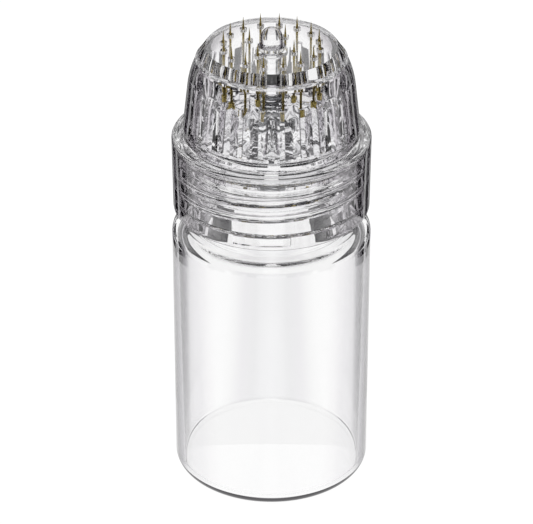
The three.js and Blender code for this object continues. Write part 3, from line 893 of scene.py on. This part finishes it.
def valveSpring():
    s = springSizes
    low, high = boxOf("valve_spring")
    radius, lead, steps = s["radius"], 2 * s["wire"], s["turns"] * s["stepsPerTurn"]
    # the wire's ends stand upright on their seats, and the turns climb evenly between them
    path = [(radius, 0, low.z), (radius, 0, low.z + lead * s["riseShare"])]
    for i in range(2, steps - 1):
        angle = fullTurn * i / s["stepsPerTurn"]
        height = low.z + lead + (high.z - low.z - 2 * lead) * i / steps
        path.append((radius * math.cos(angle), radius * math.sin(angle), height))
    path += [(radius, 0, high.z - lead * s["riseShare"]), (radius, 0, high.z)]
    deselectAll()
    bpy.ops.curve.primitive_nurbs_path_add()
    spring = bpy.context.object
    spring.name = "valveSpring"
    spring.data.splines.clear()
    spline = spring.data.splines.new("POLY")
    spline.points.add(len(path) - 1)
    for point, (x, y, z) in zip(spline.points, path):
        point.co = (x * mm, y * mm, z * mm, 1)
    spring.data.bevel_depth = s["wire"] * mm
    spring.data.bevel_resolution = s["wireRounding"]
    spring.data.use_fill_caps = True
    makeActive(spring)
    bpy.ops.object.convert(target="MESH")
    spring = bpy.context.object
    makeActive(spring)
    bpy.ops.object.mode_set(mode="EDIT")
    closeMesh()
    smoothPiece(spring, s["sharpDeg"])
    finishPiece(spring, steelMaterial, "head", "valve_spring")
    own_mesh(spring)
    return spring


glassVial()
neckPlug()
screwCollar()
domeShell()
print("vial, plug, collar and dome made")
needlePlate()
goldNeedles()
needleCarrier()
smallRings()
valvePin()
valveSpring()
print("plate, needles, carrier, rings and valve made")


# studio: pale floor with cards, grey room, soft lamps, camera

floorLook = {
    # the camera sees a plain white floor with the soft shadow of the object; metres
    "size": 6.0, "cells": 8, "shade": 0.07, "glow": 0.985, "ground": "#ffffff",
    # glass and metal see white cards on a dark floor round the object, by bearing in degrees from the camera
    "nearRadius": 0.074, "nearCentre": -0.015,
    "farTones": (
        (0, "#ffffff"), (16, "#1e1c20"), (27, "#ffffff"), (30, "#1e1c20"), (44, "#ffffff"), (50, "#1e1c20"),
        (72, "#ffffff"), (108, "#1e1c20"), (130, "#ffffff"), (136, "#1e1c20"), (150, "#ffffff"),
        (153, "#1e1c20"), (158, "#ffffff"), (161, "#1e1c20"), (169.5, "#ffffff"),
    ),
    # close behind it they see white with a soft pale-grey band each side of the middle, by mm aside
    "bandReach": 30.0,
    "bands": (
        (0.0, "#f7f7f8"), (1.5, "#f4f4f5"), (2.6, "#eeeeef"), (4.4, "#f0eff1"), (6.0, "#fafafa"),
        (7.4, "#ffffff"),
    ),
    # in front of it a pale grey that begins softly, and white right under it
    "front": "#cfcfd1", "frontStart": 0.0, "frontEnd": 0.06, "underRadius": 0.0125,
}


def floorCards(tree):
    # the colour of the floor as glass and metal see it
    s = floorLook
    place = addNode(tree, "ShaderNodeNewGeometry").outputs["Position"]
    split = addNode(tree, "ShaderNodeSeparateXYZ", {"Vector": place}).outputs
    aside = addNode(tree, "ShaderNodeMath", {0: split["X"]}, operation="ABSOLUTE")
    towards = addNode(tree, "ShaderNodeMath", {0: split["Y"], 1: -1.0}, operation="MULTIPLY")
    angle = addNode(tree, "ShaderNodeMath", {0: aside, 1: towards}, operation="ARCTAN2")
    bearing = addNode(tree, "ShaderNodeMath", {0: angle, 1: math.pi}, operation="DIVIDE")
    farRamp = addNode(tree, "ShaderNodeValToRGB", {"Fac": bearing})
    farTone = setStops(farRamp, [(degrees / 180, tone) for degrees, tone in s["farTones"]], "CONSTANT")
    across = addNode(tree, "ShaderNodeMath", {0: aside, 1: s["bandReach"] * mm}, operation="DIVIDE")
    bandRamp = addNode(tree, "ShaderNodeValToRGB", {"Fac": across})
    behind = setStops(bandRamp, [(offset / s["bandReach"], tone) for offset, tone in s["bands"]])
    inFront = addNode(tree, "ShaderNodeMapRange", {
        "Value": towards, "From Min": s["frontStart"], "From Max": s["frontEnd"],
    })
    near = addNode(tree, "ShaderNodeMix", {0: inFront, 6: behind, 7: s["front"]}, data_type="RGBA").outputs[2]
    reach = addNode(tree, "ShaderNodeVectorMath", {"Vector": place}, operation="LENGTH").outputs["Value"]
    under = addNode(tree, "ShaderNodeMath", {0: reach, 1: s["underRadius"]}, operation="LESS_THAN")
    near = addNode(tree, "ShaderNodeMix", {0: under, 6: near, 7: s["ground"]}, data_type="RGBA").outputs[2]
    nearCentre = (0, s["nearCentre"], 0)
    shifted = addNode(tree, "ShaderNodeVectorMath", {0: place, 1: nearCentre}, operation="DISTANCE")
    away = shifted.outputs["Value"]
    far = addNode(tree, "ShaderNodeMath", {0: away, 1: s["nearRadius"]}, operation="GREATER_THAN")
    return addNode(tree, "ShaderNodeMix", {0: far, 6: near, 7: farTone}, data_type="RGBA").outputs[2]


def paleFloor():
    s = floorLook
    deselectAll()
    bpy.ops.mesh.primitive_grid_add(x_subdivisions=s["cells"], y_subdivisions=s["cells"], size=s["size"])
    floor = bpy.context.object
    floor.name = "studioFloor"
    material, tree, shader = newMaterial("paleStudioFloor")
    tree.nodes.remove(shader)
    unseen = addNode(tree, "ShaderNodeEmission", {"Color": floorCards(tree)})
    glow = addNode(tree, "ShaderNodeEmission", {"Color": s["ground"], "Strength": s["glow"]})
    matte = addNode(tree, "ShaderNodeBsdfDiffuse", {"Color": (*[s["shade"]] * 3, 1)})
    seen = addNode(tree, "ShaderNodeAddShader", {0: glow, 1: matte})
    cameraRay = addNode(tree, "ShaderNodeLightPath").outputs["Is Camera Ray"]
    both = addNode(tree, "ShaderNodeMixShader", {0: cameraRay, 1: unseen, 2: seen})
    setInputs(tree, tree.nodes["Material Output"], {"Surface": both})
    floor.data.materials.append(material)


roomLook = {
    # the camera sees white past the floor; glass and metal see a dark grey room that darkens upward
    "low": "#262429", "high": "#161518", "white": "#ffffff",
    # a white wall behind the object and a white card over its front, as parts of the direction looked in
    "wallBack": 0.3, "wallTop": 0.56, "cardLow": 0.5, "cardFront": -0.2, "cardHalf": 0.13,
}


def greyRoom():
    s = roomLook
    world = bpy.data.worlds.new("studioRoom")
    bpy.context.scene.world = world
    world.use_nodes = True
    tree = world.node_tree
    place = addNode(tree, "ShaderNodeTexCoord").outputs["Generated"]
    x, y, z = addNode(tree, "ShaderNodeSeparateXYZ", {"Vector": place}).outputs
    room = addNode(tree, "ShaderNodeMix", {0: z, 6: s["low"], 7: s["high"]}, data_type="RGBA").outputs[2]
    behind = addNode(tree, "ShaderNodeMath", {0: y, 1: s["wallBack"]}, operation="GREATER_THAN")
    low = addNode(tree, "ShaderNodeMath", {0: z, 1: s["wallTop"]}, operation="LESS_THAN")
    wall = addNode(tree, "ShaderNodeMath", {0: behind, 1: low}, operation="MULTIPLY")
    room = addNode(tree, "ShaderNodeMix", {0: wall, 6: room, 7: s["white"]}, data_type="RGBA").outputs[2]
    high = addNode(tree, "ShaderNodeMath", {0: z, 1: s["cardLow"]}, operation="GREATER_THAN")
    front = addNode(tree, "ShaderNodeMath", {0: y, 1: s["cardFront"]}, operation="LESS_THAN")
    aside = addNode(tree, "ShaderNodeMath", {0: x}, operation="ABSOLUTE")
    narrow = addNode(tree, "ShaderNodeMath", {0: aside, 1: s["cardHalf"]}, operation="LESS_THAN")
    over = addNode(tree, "ShaderNodeMath", {0: high, 1: front}, operation="MULTIPLY")
    card = addNode(tree, "ShaderNodeMath", {0: over, 1: narrow}, operation="MULTIPLY")
    room = addNode(tree, "ShaderNodeMix", {0: card, 6: room, 7: s["white"]}, data_type="RGBA").outputs[2]
    cameraRay = addNode(tree, "ShaderNodeLightPath").outputs["Is Camera Ray"]
    seen = addNode(tree, "ShaderNodeMix", {0: cameraRay, 6: room, 7: s["white"]}, data_type="RGBA").outputs[2]
    setInputs(tree, tree.nodes["Background"], {"Color": seen, "Strength": 1.0})


lampSizes = {
    # name: (place in metres, size in metres, power in watts)
    "keyLamp": ((-0.55, -0.45, 0.75), (0.5, 0.5), 4.0),
    "fillLamp": ((0.7, -0.3, 0.5), (0.35, 0.7), 2.5),
    "topLamp": ((0.05, 0.25, 0.9), (0.5, 0.35), 3.5),
}
lampAim = Vector((0, 0, 0.04))


def softLamps():
    # the lamps light the floor and the object, and glass and metal don't see them
    for name, (place, (width, height), power) in lampSizes.items():
        deselectAll()
        bpy.ops.object.light_add(type="AREA", location=place)
        lamp = bpy.context.object
        lamp.name = name
        lamp.data.shape = "RECTANGLE"
        lamp.data.size = width
        lamp.data.size_y = height
        lamp.data.energy = power
        lamp.rotation_euler = (lampAim - Vector(place)).to_track_quat("-Z", "Y").to_euler()
        lamp.visible_transmission = False
        lamp.visible_glossy = False


cameraView = {
    # fitted to the photograph's outlines
    "distance": 0.30073, "height": 0.20139, "pitchDeg": 30.0, "yawDeg": 0.114, "lens": 192.45, "sensor": 36.0,
    "clipStart": 0.01,
}


def photoCamera():
    s = cameraView
    deselectAll()
    bpy.ops.object.camera_add(
        location=(0, -s["distance"], s["height"]),
        rotation=(math.radians(90 - s["pitchDeg"]), 0, math.radians(s["yawDeg"])),
    )
    camera = bpy.context.object
    camera.name = "photoCamera"
    camera.data.lens = s["lens"]
    camera.data.sensor_width = s["sensor"]
    camera.data.clip_start = s["clipStart"]
    bpy.context.scene.camera = camera


paleFloor()
greyRoom()
softLamps()
photoCamera()
scene = bpy.context.scene
scene.view_settings.view_transform = "Standard"
# clear walls behind clear walls need many passes of light
scene.cycles.max_bounces = 40
scene.cycles.transmission_bounces = 40
scene.cycles.glossy_bounces = 16
print("studio ready")
